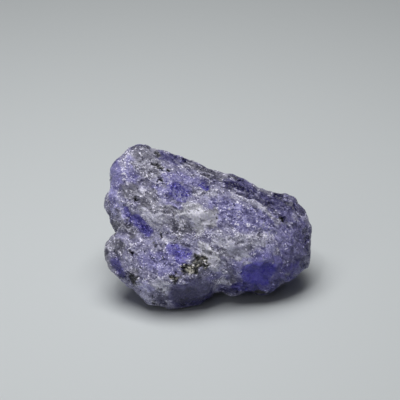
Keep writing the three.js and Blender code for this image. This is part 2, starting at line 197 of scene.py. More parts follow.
TONES_AND_PAINTED_SHADING = {  # softer paler and darker parts: a place and how much paler it is. Some are the stone's own tone; others are painted light and painted shade, marked below
    # the peak and the ridge
    "peak rim": ((-13.6, 12.4), (-8.6, 12.9), 0.7, -1.6),
    "peak back": ((-10.4, 11.8), (-8.8, 10.6), 0.7, -0.5),
    "peak light": ((-10.4, 9.8), (-6.0, 10.0), 0.6, 0.5),
    "peak foot": ((-10.2, 7.1), (-9.0, 6.8), 0.6, -0.8),
    "peak gap": ((-10.2, 7.4), (-9.6, 6.9), 0.4, -0.6),
    "ridge shoulder": ((-12.7, 11.3), (-12.2, 11.0), 0.4, 0.4),
    "ridge": ((-12.2, 11.0), (-11.0, 10.2), 0.5, 0.4),
    "ridge foot": ((-11.4, 9.2), (-11.0, 8.4), 0.5, -0.4),
    "left top": ((-15.2, 9.6), (-14.2, 10.8), 0.5, -0.7),
    "cluster dip": ((-6.2, 8.2), (-5.4, 7.8), 0.4, -0.4),
    "upper spot": ((-8.4, 8.6), (-7.8, 8.5), 0.4, -0.6),
    "upper patch": ((-7.8, 7.2), (-7.2, 6.6), 0.4, 0.6),
    "white patch": ((-10.2, 6.0), (-9.5, 5.8), 0.5, 0.8),
    # the bulge at the left end
    "bulge rim": ((-15.6, 5.4), (-15.6, 4.2), 0.5, -0.3),
    "bulge top": ((-14.8, 5.8), (-14.2, 5.4), 0.4, 0.8),
    "bulge": ((-13.2, 4.4), (-12.8, 3.2), 0.6, 0.8),
    "bulge side": ((-14.4, 2.8), (-13.2, 1.8), 0.5, 0.8),
    "bulge foot": ((-15.4, 2.2), (-14.8, 0.8), 0.5, -0.7),
    "crystal foot": ((-14.4, 6.8), (-14.0, 6.6), 0.4, 0.4),
    "left notch": ((-12.6, 5.2), (-12.0, 4.8), 0.4, 0.7),
    "left gap": ((-11.0, 4.4), (-9.8, 4.6), 0.5, -0.2),
    # the top edge and the terrace
    "top band": ((-5.6, 11.8), (-3.8, 10.8), 0.6, -0.5),
    "top rim": ((-3.4, 10.2), (0.4, 8.8), 0.6, -1.1),
    "rim start": ((-3.2, 9.4), (-2.2, 8.6), 0.5, -0.8),
    "rim": ((0.2, 9.0), (1.8, 7.8), 0.6, -0.8),
    "upper rim": ((-0.4, 7.3), (4.4, 6.4), 0.6, -0.9),
    "right rim": ((11.8, 5.0), (14.4, 2.9), 0.8, -1.2),
    "terrace back": ((3.6, 8.4), (4.8, 7.8), 0.5, -0.9),
    "terrace spot": ((5.0, 7.3), (6.6, 7.0), 0.4, 0.4),
    "terrace edge": ((3.0, 6.0), (6.0, 5.8), 0.5, -0.5),
    # the patch below the top edge
    "top patch": ((-4.6, 6.0), (-3.6, 5.2), 0.8, -0.5),
    "patch top": ((-5.4, 7.1), (-4.6, 7.0), 0.4, 0.6),
    "patch end": ((-2.6, 6.4), (-2.6, 6.0), 0.4, 0.5),
    "patch side": ((-7.0, 6.0), (-6.4, 4.8), 0.5, 0.2),
    "patch side low": ((-6.4, 4.8), (-5.8, 4.4), 0.4, -0.6),
    "patch back": ((-2.6, 5.5), (-2.0, 5.3), 0.4, -0.7),
    "under patch": ((-5.2, 2.5), (-6.2, 2.6), 0.6, -0.8),
    "grey gap": ((-10.2, 4.2), (-9.4, 3.8), 0.5, -0.6),
    # the nub, with painted light on its side, foot and corner, where its underside turns away from the lamps
    "nub crest": ((-1.2, 5.2), (0.4, 5.0), 0.6, 0.6),
    "crest end": ((0.0, 5.7), (1.0, 4.6), 0.5, -0.7),
    "nub": ((-4.0, 1.9), (-0.6, 1.9), 0.8, 0.5),
    "nub side": ((-1.6, 1.6), (1.2, 1.5), 0.6, 1.5),
    "nub end": ((1.4, 2.8), (2.0, 2.4), 0.5, -0.6),
    "nub foot": ((-2.0, 0.9), (-1.1, 0.3), 0.7, 1.0),
    "nub base": ((0.2, 0.7), (0.9, 0.4), 0.5, -0.8),
    "nub gap": ((-0.8, -0.5), (-0.3, -0.8), 0.4, -0.5),
    "nub corner": ((-4.4, 1.6), (-3.8, 0.6), 0.45, 1.0),
    # the two strips and the stripes between them
    "streaks": ((-5.2, 1.6), (-5.3, -0.7), 0.35, -0.2),
    "streaks foot": ((-5.4, -0.2), (-4.8, -0.4), 0.4, -0.6),
    "stripes edge": ((-8.2, 2.0), (-6.2, 1.0), 0.6, 1.0),
    "stripes foot": ((-6.4, 0.1), (-5.8, -0.1), 0.4, -0.4),
    "strip side": ((-13.4, 3.6), (-12.9, 1.8), 0.5, 0.9),
    "strip back": ((-11.4, 2.8), (-9.8, 2.4), 0.5, 0.7),
    "strip end": ((-9.6, 0.9), (-8.0, 0.5), 0.5, 0.9),
    "strip edge": ((-9.4, 2.2), (-7.4, -0.8), 0.6, 0.6),
    "strip crystal": ((-11.4, 1.4), (-11.0, 1.0), 0.3, 1.0),
    "strip core": ((-12.5, 1.4), (-11.4, 0.0), 0.4, -0.9),
    "strip bank": ((-10.4, -1.1), (-9.2, -0.8), 0.4, 0.7),
    "strip foot": ((-14.2, 2.2), (-13.4, -0.4), 0.4, 0.4),
    "strip lip": ((-6.0, -1.9), (-4.8, -2.1), 0.4, 0.4),
    "lip end": ((-4.4, -1.8), (-2.6, -1.8), 0.4, 0.5),
    "strip corner": ((-7.4, -2.3), (-6.8, -2.7), 0.5, -1.0),
    "strip top": ((-6.0, -2.7), (-5.2, -3.4), 0.4, 0.5),
    "strip tip": ((-6.9, -3.3), (-6.4, -4.2), 0.4, -0.6),
    "lower strip": ((-4.8, -3.4), (-3.0, -3.6), 0.5, -0.3),
    "lower strip foot": ((-5.0, -4.6), (-2.9, -4.7), 0.45, 0.7),
    # the grainy blue and the ledge
    "grainy top": ((6.6, 3.8), (7.2, 3.6), 0.4, -0.6),
    "grainy light": ((4.4, 2.6), (4.6, 2.2), 0.4, 0.7),
    "grainy dark": ((2.4, 1.3), (3.4, 0.9), 0.5, -0.3),
    "grainy spot": ((6.0, 1.2), (6.8, 0.9), 0.5, -0.4),
    "grainy foot": ((8.0, 0.2), (9.0, 0.0), 0.6, 0.8),
    "ledge start": ((2.4, 4.0), (3.0, 3.6), 0.4, -0.7),
    # painted light, lifting the shadow in the groove behind the ledge
    "ledge light": ((8.0, 3.8), (8.3, 3.0), 0.5, 0.5),
    "ledge back": ((9.8, 3.0), (12.0, 0.8), 0.5, -0.8),
    "ledge end": ((9.2, 1.4), (10.2, 0.8), 0.5, -0.5),
    "under ledge": ((5.8, 3.5), (6.4, 2.8), 0.5, -0.5),
    "groove side": ((11.2, 1.2), (12.4, 1.0), 0.5, -0.4),
    # the pale band
    "band start": ((0.8, 0.1), (1.6, 0.0), 0.5, -0.8),
    "band crest": ((5.8, -1.0), (6.4, -1.1), 0.5, 0.9),
    "band dip": ((8.0, -1.1), (8.6, -1.2), 0.4, -0.6),
    "band end": ((9.2, -1.0), (10.2, -0.8), 0.6, 1.0),
    "band middle": ((1.0, -2.3), (3.4, -2.3), 0.6, 0.9),
    "band side": ((4.4, -2.6), (6.2, -2.8), 0.5, -0.6),
    "band foot": ((-1.8, -2.4), (1.0, -3.0), 0.7, 0.7),
    "band gap": ((-1.2, -1.8), (-0.8, -2.0), 0.4, -0.5),
    "band root": ((-0.2, -2.8), (0.2, -4.6), 0.4, 0.6),
    # the belly and the window
    "nest shoulder": ((-1.2, -3.4), (-0.4, -4.2), 0.4, 1.0),
    "belly left": ((0.8, -4.9), (1.6, -6.0), 0.8, 2.4),
    "belly top": ((2.2, -3.8), (3.0, -4.3), 0.5, 0.8),
    "belly middle": ((5.2, -4.4), (6.2, -5.2), 0.6, 1.0),
    "belly side": ((7.2, -2.8), (7.8, -3.1), 0.5, 0.6),
    "belly foot": ((3.0, -6.0), (3.6, -6.6), 0.5, -0.7),
    "window brow": ((6.8, -4.9), (10.2, -4.7), 0.6, 1.2),
    "window core": ((5.4, -7.0), (8.0, -7.4), 0.6, 0.5),
    # the right end
    "right shoulder": ((13.2, 2.2), (14.4, 1.2), 0.5, 0.6),
    # painted light, lifting the shadow in the crease between the belly and the right end
    "right side": ((10.9, 0.3), (11.2, -2.6), 0.5, 0.7),
    "right brow": ((9.4, -2.8), (10.2, -4.2), 0.6, 0.8),
    "right light": ((13.4, -1.6), (13.9, -2.0), 0.4, 0.7),
    "right speck": ((13.3, -3.4), (13.4, -3.5), 0.2, 3.5),
    "right edge": ((15.4, -1.8), (15.8, -3.4), 0.5, -0.7),
    "right corner": ((14.4, -4.8), (15.4, -6.4), 0.6, -0.8),
    "right foot": ((10.6, -8.2), (11.4, -8.7), 0.6, -1.2),
    # the foot, with painted shadow along its lower rim and in the gap just above it
    "foot ledge": ((2.6, -7.9), (3.0, -8.1), 0.4, 0.6),
    "foot middle": ((3.8, -8.0), (4.6, -7.9), 0.5, -0.7),
    "foot gap shadow": ((2.6, -9.6), (3.9, -10.0), 0.6, -2.4),
    "foot rim shadow": ((2.6, -10.2), (10.4, -10.2), 0.7, -2.2),
    "knob": ((5.4, -9.0), (7.0, -9.2), 0.5, -0.7),
    # the toe and the nest's foot
    "toe ridge": ((-13.0, -1.8), (-9.8, -2.0), 0.5, -0.7),
    "toe point": ((-16.2, -2.8), (-15.8, -3.8), 0.6, -1.2),
    "toe rim": ((-15.8, -5.0), (-15.2, -5.8), 0.4, 0.6),
    "toe shoulder": ((-14.2, -3.6), (-13.8, -4.2), 0.5, -0.6),
    "toe middle": ((-12.2, -4.2), (-11.8, -5.6), 0.6, 0.7),
    "toe middle left": ((-11.0, -7.7), (-10.2, -7.9), 0.5, -1.0),
    "toe middle right": ((-4.8, -8.4), (-3.8, -8.5), 0.4, 0.6),
    "toe top": ((-8.0, -5.4), (-7.4, -5.6), 0.5, 0.5),
    "toe rise": ((-6.4, -5.8), (-5.8, -6.2), 0.45, 0.8),
    "toe corner": ((-14.8, -6.4), (-13.6, -7.6), 0.5, -0.7),
    "toe corner end": ((-8.8, -11.6), (-7.8, -12.0), 0.5, 0.7),
    # painted light, where the toe's base turns away from the lamps
    "toe base": ((-9.8, -8.8), (-9.4, -10.2), 0.8, 1.3),
    "toe foot": ((-7.4, -9.6), (-6.8, -11.0), 0.6, -2.1),
    "toe brow": ((-7.2, -8.8), (-6.0, -9.2), 0.7, 1.0),
    "toe side": ((-6.4, -9.8), (-5.6, -11.2), 0.8, 0.5),
    "toe front": ((-5.0, -8.9), (-3.8, -8.9), 0.4, 0.6),
    "front top": ((-3.4, -8.4), (-0.8, -8.5), 0.5, 0.7),
    "front foot": ((-3.8, -11.2), (-0.6, -10.8), 0.5, -0.5),
    "nest side": ((-5.4, -7.4), (-4.8, -8.2), 0.4, -0.5),
    "nest foot": ((-4.8, -6.6), (-1.6, -6.9), 0.4, -0.6),
}
SWELLS = {  # where the surface stands out further: a place and by how much, in mm
    "peak": ((-11.8, 12.7), (-9.8, 12.9), 0.9, 0.45),
    "bulge": ((-15.6, 5.2), (-15.6, 3.8), 0.8, 0.3),
    "right corner": ((12.2, 4.8), (13.0, 4.3), 0.7, 0.35),
    "toe left": ((-16.2, -2.8), (-15.0, -6.8), 1.2, 0.42),
}
NEST = {  # black and brassy specks
    "nest arm": ((-2.0, -4.2), (-1.4, -4.6), 0.4),
    "nest": ((-2.8, -6.1), (-1.2, -5.2), 1.1),
    "nest tail": ((-5.6, -7.0), (-4.4, -7.2), 0.5),
}
BRASSY = ((-3.0, -6.2), (-2.5, -6.3), 0.4)  # the nest's paler end
PAINTED_GLINT_PLACES = {  # where glints of small crystal faces are painted into the colour
    "upper left": ((-12.2, 11.4), (-13.3, 8.4), 0.35),
    "peak": ((-10.4, 9.4), (-9.2, 8.3), 0.6),
    "cluster": ((-7.0, 8.9), (-5.6, 8.0), 0.6),
    "left ridge": ((-12.3, 11.5), (-12.1, 11.3), 0.35),
    "toe streak": ((-11.6, -2.7), (-10.4, -1.8), 0.3),
    "band start": ((0.3, -1.7), (-0.2, -0.8), 0.3),
    "grainy light": ((4.2, 0.9), (4.5, 0.7), 0.3),
    "nub": ((-4.3, 1.4), (-3.7, 0.2), 0.5),
    "nub foot": ((-1.8, -0.2), (-0.8, -1.0), 0.5),
    "strip end": ((-9.3, 0.7), (-7.8, -1.1), 0.25),
    "grainy blue": ((1.8, 3.4), (2.2, 3.1), 0.3),
    "grainy foot": ((4.2, 0.8), (7.0, 0.3), 0.4),
    "band": ((6.0, -0.9), (10.1, -0.9), 0.3),
    "band foot": ((0.6, -2.8), (3.0, -2.4), 0.3),
    "belly edge": ((0.0, -5.1), (1.4, -5.5), 0.5),
}
GLASSY = {"lilac": "left crystal", "pale": "belly", "violet": "window end"}  # kind and place of glassy spots

RAGGED = 0.9  # mm that an edge wanders at a radius of 1 mm; it grows as the square root of the radius
SOFT_EDGE = 0.3  # the half width over which an edge fades, as a share of the radius
CLEAN_EDGE = 0.2  # for smooth kinds
BROAD_EDGE = 0.6  # for swells and the nest's paler end
CLEAN_WANDER = (0.3, 0.2)  # how much of the wander and of the fine wander a smooth kind's edges have
FINE_WANDER = 1.2  # how far the edges of dark specks wander, next to other edges

# The sides that the broad face doesn't show have patches of the same kinds, laid out by noise. Each kind has
# its patch size in mm, its place in the noise, and how rare it is.
HIDDEN = {
    "lilac": (6.0, 17.0, -0.10),
    "smoke": (7.0, 29.0, 0.46),
    "deep": (5.0, 43.0, 0.80),
    "violet": (6.0, 97.0, 0.42),
    "slate": (9.0, 11.0, 0.05),
    "grey": (7.0, 83.0, 0.10),
    "pale": (5.0, 57.0, 0.16),
    "milky": (5.0, 91.0, 0.26),
    "ink": (6.0, 71.0, 0.42),
    "blue": (6.0, 31.0, 0.56),
    "dark": (2.6, 5.0, 0.62),
}
HIDDEN_TURN = np.array(Euler((0.5, 0.6, 0.7)).to_matrix())  # keeps the noise's own axes off the stone's
HIDDEN_EDGE = (-0.05, 0.20)  # the noise values over which a patch fades in

# ---------------------------------------------------------------- relief and shades

CUTS = 2  # each cut makes four triangles of one
SMOOTHINGS = 5
LYING = 1e-3  # mm: a point lower than this lies on the table
FRONT = (-0.15, 0.25)  # cosines to the broad face at which a point starts to be front, and is all front

# What is left of distances along the grain line, for noise that is drawn out into streaks.
STREAK = 0.6
STRIPE_STREAK = 0.14
VEIL_STREAK = 0.35

RELIEF = {  # how high each kind of relief is, in mm
    "folds": 0.15,  # small steps
    "bumps": 0.04,
    "big grains": 0.15,
    "small grains": 0.042,
    "stripes": 0.06,  # along the grain line, strongest in the grey rock
    "pits": 0.16,  # under dark crystal
    "dents": 0.08,  # for each unit that a tone is darker
    "nest": 0.12,
    "crust": 0.05,  # pale crystal
}
SHADES = {  # how much of a kind's range, from its darkest to its lightest tone, each thing makes up
    "middle": 0.56,
    "mottle": 0.07,
    "big grains": 0.18,
    "small grains": 0.09,
    "broad": 0.08,  # slow changes over a few mm
    "seams": 0.06,  # between small grains
    # crests: lighter, partly rubbed pale and partly a painted highlight; hollows: darker, a painted shade
    "crests": 0.18,
    "hollow shade": 0.16,
    "stripes": 0.16,  # in the grey rock
    "smooth veil": 0.3,  # streaks in smooth crystal
    "deep veil": 0.4,  # and more of them in the deepest coloured
    # painted glints on the grains of glinting places
    "painted_glint_spots": 0.6,
}
DARKEST, LIGHTEST = -0.5, 1.6  # how far the shades may go past a kind's range of 0 to 1
FOLD_LOSS = 0.85  # how much of the folds smooth crystal lacks
GRAIN_LOSS = 0.7  # and how much of the grains, stripes and bumps
GLASS_GRIT = 0.5  # how much grit a glassy spot lacks
STRIPES_ALL_OVER = 0.2  # how strong the stripes are away from the grey rock
NEST_LEVEL = 0.6  # the grain height at which the nest neither stands out nor lies deep
BRASS_GAIN = 0.7  # how much the nest's paler end adds to the noise
BRASS_EDGE = (0.15, 0.65)  # the noise values between graphite and brass
CREST_BULGE = (0.002, 0.016)  # mm that a point stands above its neighbours, from no crest to a full one
GLINT_TONES = (0.75, 0.85)  # the tones of the grains that get a painted glint, from a little to fully
SEAM = 0.3  # the gap to the next grain at which the seam between them has faded
COARSE = (-0.35, 0.35)  # the noise values between the flattest and the fullest grains
LEAST_COARSE = 0.25  # how much of their height the flattest grains keep
SPARKLE = {"crests": 0.4, "crust": 0.3, "broad": 0.3}  # what makes painted glints likely away from their places


# ---------------------------------------------------------------- mesh helpers


def triangle_sides(triangles):
    """All triangles' sides, each as two points in rising order; a shared side comes twice."""
    return np.sort(triangles[:, [0, 1, 1, 2, 2, 0]].reshape(-1, 2), axis=1)


def split_triangles(points, triangles):
    """Each triangle becomes four, cut at the middles of its edges."""
    edges, which = np.unique(triangle_sides(triangles), axis=0, return_inverse=True)
    middle = len(points) + which.reshape(-1, 3)
    a, b, c = triangles.T
    ab, bc, ca = middle.T
    parts = [(a, ab, ca), (ab, b, bc), (ca, bc, c), (ab, bc, ca)]
    return np.vstack([points, points[edges].mean(1)]), np.vstack([np.stack(part, 1) for part in parts])


def neighbour_mean(values, edges):
    """For each point, the mean of its neighbours' values."""
    total = np.zeros_like(values)
    count = np.zeros(len(values))
    for here, there in (edges.T, edges.T[::-1]):
        np.add.at(total, here, values[there])
        np.add.at(count, here, 1)
    return total / count.reshape((-1,) + (1,) * (values.ndim - 1))


def softened(values, edges):
    """Values half way to their neighbours' mean."""
    return 0.5 * values + 0.5 * neighbour_mean(values, edges)


def point_normals(points, triangles):
    corner = points[triangles]
    across = np.cross(corner[:, 1] - corner[:, 0], corner[:, 2] - corner[:, 0])
    normals = np.zeros_like(points)
    for k in range(3):
        np.add.at(normals, triangles[:, k], across)
    return normals / np.linalg.norm(normals, axis=1, keepdims=True)


def smoothstep(low, high, value):
    t = np.clip((value - low) / (high - low), 0, 1)
    return t * t * (3 - 2 * t)


def read_solid(node):
    """The CAD node's points, in mm, and triangles, with the corners that lie together merged."""
    mesh = node.data
    mesh.calc_loop_triangles()
    points = np.zeros(len(mesh.vertices) * 3)
    mesh.vertices.foreach_get("co", points)
    triangles = np.zeros(len(mesh.loop_triangles) * 3, int)
    mesh.loop_triangles.foreach_get("vertices", triangles)
    merged, which = np.unique(np.round(points.reshape(-1, 3) / MM, decimals=4), axis=0, return_inverse=True)
    return merged, which.reshape(-1)[triangles].reshape(-1, 3)


# ---------------------------------------------------------------- noise over many points
# A shift moves to another part of the noise, so that no two patterns are alike.

FINER = 2.0  # how many times smaller each octave's features are than the last one's
FALL_OFF = 0.8  # how fast the octaves weaken


def ragged_wave(points, size, octaves, shift=0.0):
    """Fractal noise, about -1 to 1, with features of the given size in mm."""
    return np.array([noise.fractal(Vector(p / size + shift), FALL_OFF, FINER, octaves) for p in points])


def grains(points, size, shift=0.0):
    """Crystal grains of a size in mm, each with its own tilt, level and tone.

    A point's gap is how much further it is from the next grain's middle than from its own, in grain sizes.
    """
    slope, step = 2.0, 0.8
    centre_of_cell = Vector((0.5, 0.5, 0.5))
    aside = Vector((40, 0, 0))
    height = np.zeros(len(points))
    gap = np.zeros(len(points))
    tone = np.zeros(len(points))
    for i, p in enumerate(points / size + shift):
        distances, centres = noise.voronoi(Vector(p))
        tilt = noise.cell_vector(centres[0]) - centre_of_cell
        height[i] = slope * tilt.dot(Vector(p) - centres[0]) + step * (noise.cell(centres[0]) - 0.5)
        gap[i] = distances[1] - distances[0]
        tone[i] = noise.cell(centres[0] + aside)
    return {"height": height, "gap": gap, "tone": tone}


def stepped(values, steps):
    """Values made into treads with short steep rises between them, the given number of them to a unit."""
    tread = 0.55
    whole = np.floor(values * steps)
    return (whole + smoothstep(tread, 1.0, values * steps - whole)) / steps


def along_grain(face_points, squeeze):
    """Face points squeezed along the grain line, so that noise over them draws out into streaks."""
    return face_points - np.outer(face_points @ GRAIN_LINE, (1 - squeeze) * GRAIN_LINE)


# ---------------------------------------------------------------- places and colours over many points


def place_share(face_points, place, wander, soft=SOFT_EDGE):
    """How far each point belongs to a place: 1 inside, 0 outside, with a ragged edge."""
    start, end, radius = np.array(place[0]), np.array(place[1]), place[2]
    along = end - start
    flat = face_points[:, :2] - start
    share = np.clip(flat @ along / (along @ along), 0, 1)
    distance = np.linalg.norm(flat - share[:, None] * along, axis=1)
    return 1 - smoothstep(1 - soft, 1 + soft, distance / radius + RAGGED * wander / math.sqrt(radius))


def region(face_points, places, wander, soft=SOFT_EDGE):
    """How far each point belongs to any of a dict's places."""
    return np.max([place_share(face_points, place, wander, soft) for place in places.values()], axis=0)


def amounts(face_points, table, wander, soft=SOFT_EDGE):
    """The sum of a table's amounts at each point; each row is a place and its amount."""
    return sum(amount * place_share(face_points, place, wander, soft) for *place, amount in table.values())


def hidden_patches(points, size, shift, rarity):
    """Patches of one kind of crystal for the sides that the broad face doesn't show."""
    wave = ragged_wave(points @ HIDDEN_TURN, size, octaves=6, shift=shift)
    return smoothstep(*HIDDEN_EDGE, wave - rarity)


def blend(dark, light, share):
    return np.array(dark) + share[:, None] * (np.array(light) - np.array(dark))


def linear_colour(tone, blueness):
    """Linear colours from display tones and how much bluer than red they are."""
    display = np.stack([tone, tone + GREENER * blueness, tone + blueness], axis=1)
    return np.clip(display, 0, 1) ** DISPLAY_GAMMA


# ---------------------------------------------------------------- the stone


class Surface:
    """The stone's fine surface: its points, in mm, and what each point is like."""

    def __init__(self, node):
        points, triangles = read_solid(node)
        for _ in range(CUTS):
            points, triangles = split_triangles(points, triangles)
        self.triangles = triangles
        self.edges = np.unique(triangle_sides(triangles), axis=0)
        self.lying = points[:, 2] < LYING
        for _ in range(SMOOTHINGS):
            points = np.where(self.lying[:, None], points, softened(points, self.edges))
        self.points = points
        self.normals = point_normals(points, triangles)
        self.front = smoothstep(*FRONT, self.normals @ FACE_Z)
        self.face = (points - FACE_MIDDLE) @ TO_FACE.T
        self.streaked = along_grain(self.face, STREAK)
        self.make_noise()
        self.lay_crystals()
        self.mark_places()
        self.raise_relief()
        self.find_crests()

    def make_noise(self):
        """The noise that more than one step draws on."""
        self.wander = ragged_wave(self.streaked, size=1.0, octaves=4)
        self.soft_wander = ragged_wave(self.streaked, size=1.0, octaves=1)
        self.fine_wander = FINE_WANDER * ragged_wave(self.face, size=0.4, octaves=2, shift=13.0)
        self.big = grains(self.streaked, size=1.6)
        self.small = grains(self.streaked, size=0.42, shift=9.0)
        self.stripes = ragged_wave(along_grain(self.face, STRIPE_STREAK), size=0.42, octaves=2, shift=3.0)
        self.broad = ragged_wave(self.streaked, size=3.0, octaves=3, shift=44.0)

    def edge_of(self, kind):
        """How the edges of a kind's places wander and how softly they fade."""
        if kind == "dark":
            return self.fine_wander, SOFT_EDGE
        if kind in SMOOTH_KINDS:
            usual, fine = CLEAN_WANDER
            return usual * self.wander + fine * self.fine_wander, CLEAN_EDGE
        return self.wander, SOFT_EDGE

    def lay_crystals(self):
        """How far each point is of each kind: shares for its tone, and smoother hues for its hue."""
        self.shares = {}
        self.hues = {}
        for kind, places in PLACES.items():
            elsewhere = hidden_patches(self.streaked, *HIDDEN[kind]) * (1 - self.front)
            on_front = region(self.face, places, *self.edge_of(kind)) * self.front
            self.shares[kind] = np.maximum(on_front, elsewhere)
            if kind not in SMOOTH_KINDS:
                on_front = region(self.face, places, self.soft_wander) * self.front
            self.hues[kind] = np.maximum(on_front, elsewhere)

    def mark_places(self):
        """Where the stone is smooth, rough, gritty, paler or darker, painted with glints, or part of the
        nest.
        """
        spots = {kind: PLACES[kind][name] for kind, name in GLASSY.items()}
        glassy = region(self.face, spots, self.wander) * self.front
        smooth_kinds = [amount * self.shares[kind] for kind, amount in SMOOTH_KINDS.items()]
        self.smooth = np.max([glassy] + smooth_kinds, axis=0)
        coarse = smoothstep(*COARSE, ragged_wave(self.streaked, size=2.4, octaves=2, shift=91.0))
        self.rough = (LEAST_COARSE + (1 - LEAST_COARSE) * coarse) * (1 - GRAIN_LOSS * self.smooth)
        *_, usual = BODY
        grit = usual + sum(self.shares[kind] * (own - usual) for kind, (*_, own) in KINDS.items())
        self.grit = np.clip(grit, 0, 1) * (1 - GLASS_GRIT * glassy)
        self.paler = amounts(self.face, TONES_AND_PAINTED_SHADING, self.wander) * self.front
        self.painted_glint_spots = region(self.face, PAINTED_GLINT_PLACES, self.wander) * self.front
        self.nest = region(self.face, NEST, self.wander) * self.front

    def raise_relief(self):
        """Moves the points along their normals by the height of the relief."""
        folds = stepped(ragged_wave(self.streaked, size=1.7, octaves=4, shift=4.0), steps=5)
        bumps = ragged_wave(self.face, size=0.3, octaves=1, shift=51.0)
        stripes = self.stripes * (STRIPES_ALL_OVER + self.shares["grey"])
        rise = (
            RELIEF["folds"] * folds * (1 - FOLD_LOSS * self.smooth)
            + RELIEF["bumps"] * bumps * (1 - GRAIN_LOSS * self.smooth)
            + RELIEF["big grains"] * self.big["height"] * self.rough
            + RELIEF["small grains"] * self.small["height"] * self.rough
            + RELIEF["stripes"] * stripes * self.rough
            - RELIEF["pits"] * self.shares["dark"]
            - RELIEF["dents"] * np.maximum(-self.paler, 0)
            + RELIEF["nest"] * self.nest * (self.small["height"] - NEST_LEVEL)
            + RELIEF["crust"] * self.shares["pale"]
            + amounts(self.face, SWELLS, 0, BROAD_EDGE)
        )
        self.points = self.points + self.normals * rise[:, None]
        self.points[:, 2] = np.where(self.lying, 0, np.maximum(self.points[:, 2], 0))

    def find_crests(self):
        """How far each point is on a crest and how far in a hollow of the relief."""
        over = self.points - neighbour_mean(self.points, self.edges)
        bulge = np.sum(over * point_normals(self.points, self.triangles), axis=1)
        bulge = softened(bulge, self.edges)
        self.crest = smoothstep(*CREST_BULGE, bulge)
        self.hollow = smoothstep(*CREST_BULGE, -bulge)

    def lightness(self):
        """How far each point is from its kind's darkest tone, 0, to its lightest, 1."""
        mottle = ragged_wave(self.streaked, size=0.45, octaves=3, shift=21.0)
        veil = ragged_wave(along_grain(self.face, VEIL_STREAK), size=0.7, octaves=3, shift=33.0)
        veil_strength = SHADES["smooth veil"] * self.smooth + SHADES["deep veil"] * self.shares["deep"]
        total = (
            SHADES["middle"]
            + SHADES["mottle"] * mottle
            + SHADES["big grains"] * (self.big["tone"] - 0.5)
            + SHADES["small grains"] * (self.small["tone"] - 0.5)
            + SHADES["broad"] * self.broad
            - SHADES["seams"] * (1 - smoothstep(0.0, SEAM, self.small["gap"]))
            # painted highlight on crests and painted shade in hollows
            + SHADES["crests"] * self.crest
            - SHADES["hollow shade"] * self.hollow
            + SHADES["stripes"] * self.stripes * self.shares["grey"]
            # painted glints in the grains' tone
            + SHADES["painted_glint_spots"] * self.painted_glint_spots * smoothstep(*GLINT_TONES, self.small["tone"])
            + veil_strength * veil
            + self.paler
        )
        return np.clip(total, DARKEST, LIGHTEST)

    def colour(self):
        """Each point's linear colour: the body's, then each kind's over it, then the nest's."""
        lightness = self.lightness()
        dark, light, blueness, _ = BODY
        tone = dark + (light - dark) * lightness
        for kind, (dark, light, blue, _) in KINDS.items():
            tone = tone + self.shares[kind] * (dark + (light - dark) * lightness - tone)
            blueness = blueness + self.hues[kind] * (blue - blueness)
        colour = linear_colour(tone, blueness)
        return colour + self.nest[:, None] * (self.nest_colour() - colour)

    def nest_colour(self):
        """Graphite, with brass where the noise is high and at the nest's paler end."""
        brass = BRASS_GAIN * place_share(self.face, BRASSY, 0, BROAD_EDGE)
        wave = ragged_wave(self.points, size=0.32, octaves=3, shift=62.0)
        return blend(*NEST_COLOURS, smoothstep(*BRASS_EDGE, wave + brass))

    def attributes(self):
        """What the material reads at each point, beside the colour."""
        # how likely painted glints are at each point
        painted_glint_chance = (
            SPARKLE["crests"] * self.crest
            + SPARKLE["crust"] * self.shares["pale"]
            + SPARKLE["broad"] * self.broad
            + self.painted_glint_spots
        )
        painted_glint_chance = np.clip(painted_glint_chance, 0, 1) * self.grit * (1 - self.shares["dark"])
        return {"smooth": self.smooth, "rough": self.rough, "grit": self.grit, "painted_glint_chance": painted_glint_chance}


def add_stone_mesh(surface):
    mesh = bpy.data.meshes.new("rough_tanzanite")
    mesh.from_pydata((surface.points * MM).tolist(), [], surface.triangles.tolist())
    colour = surface.colour()
    tint = mesh.attributes.new("tint", "FLOAT_COLOR", "POINT")
    opaque = np.ones((len(colour), 1))
    tint.data.foreach_set("color", np.hstack([colour, opaque]).astype(np.float32).reshape(-1))
    for name, share in surface.attributes().items():
        attribute = mesh.attributes.new(name, "FLOAT", "POINT")
        attribute.data.foreach_set("value", share.astype(np.float32))
    mesh.polygons.foreach_set("use_smooth", surface.smooth[surface.triangles].mean(1) > 0.5)
    stone = bpy.data.objects.new("rough_tanzanite", mesh)
    bpy.context.scene.collection.objects.link(stone)
    return stone


# ---------------------------------------------------------------- material

# Features per metre of each of the material's patterns.
GRAIN_SCALE = 5400
SPECK_SCALE = 6400
SPECK_CLUSTERS = 1100
CRYSTAL_SCALE = 4600
SPARK_CLUSTERS = 800
FLECK_CLUSTERS = 500
GLOSS_SCALE = 2400
FACET_SCALE = 4800
PITTING_SCALE = 5200

RAMPS = {  # the values between which each ramp runs, and what it gives at each
    "grain": (0.34, 0.66, 0.75, 1.28),
    "light specks and glints": (0.72, 1.0, 0.0, 2.6),
    "dark specks": (0.78, 1.0, 0.0, 0.75),
    "speck clusters": (0.46, 0.63, 0.1, 1.95),
    "painted_glints": (1.0, 1.04, 0.0, 1.0),
    "spark clusters": (0.38, 0.62, 0.2, 1.6),
    "flecks": (0.96, 0.98, 0.0, 1.0),
    "fleck clusters": (0.5, 0.65, 0.0, 1.0),
    "gloss": (0.3, 0.7, 0.18, 0.50),
    "relief": (0.0, 1.0, 0.2, 1.0),
}
CLOUD_ROUGHNESS = 0.6  # how strong the finer octaves of the clouds are
FACET_SLOPE = 0.6
PITTING = 0.00004  # metres
SPARK_CHANCE = 0.27  # the share of small crystals with a painted glint where the chance is 1
SPARK_GAIN = 3.6  # how many times its own lightness a painted glint adds
SPARK_LIMIT = (0.82, 0.80, 0.98)  # the lightest colour that a painted glint reaches, linear
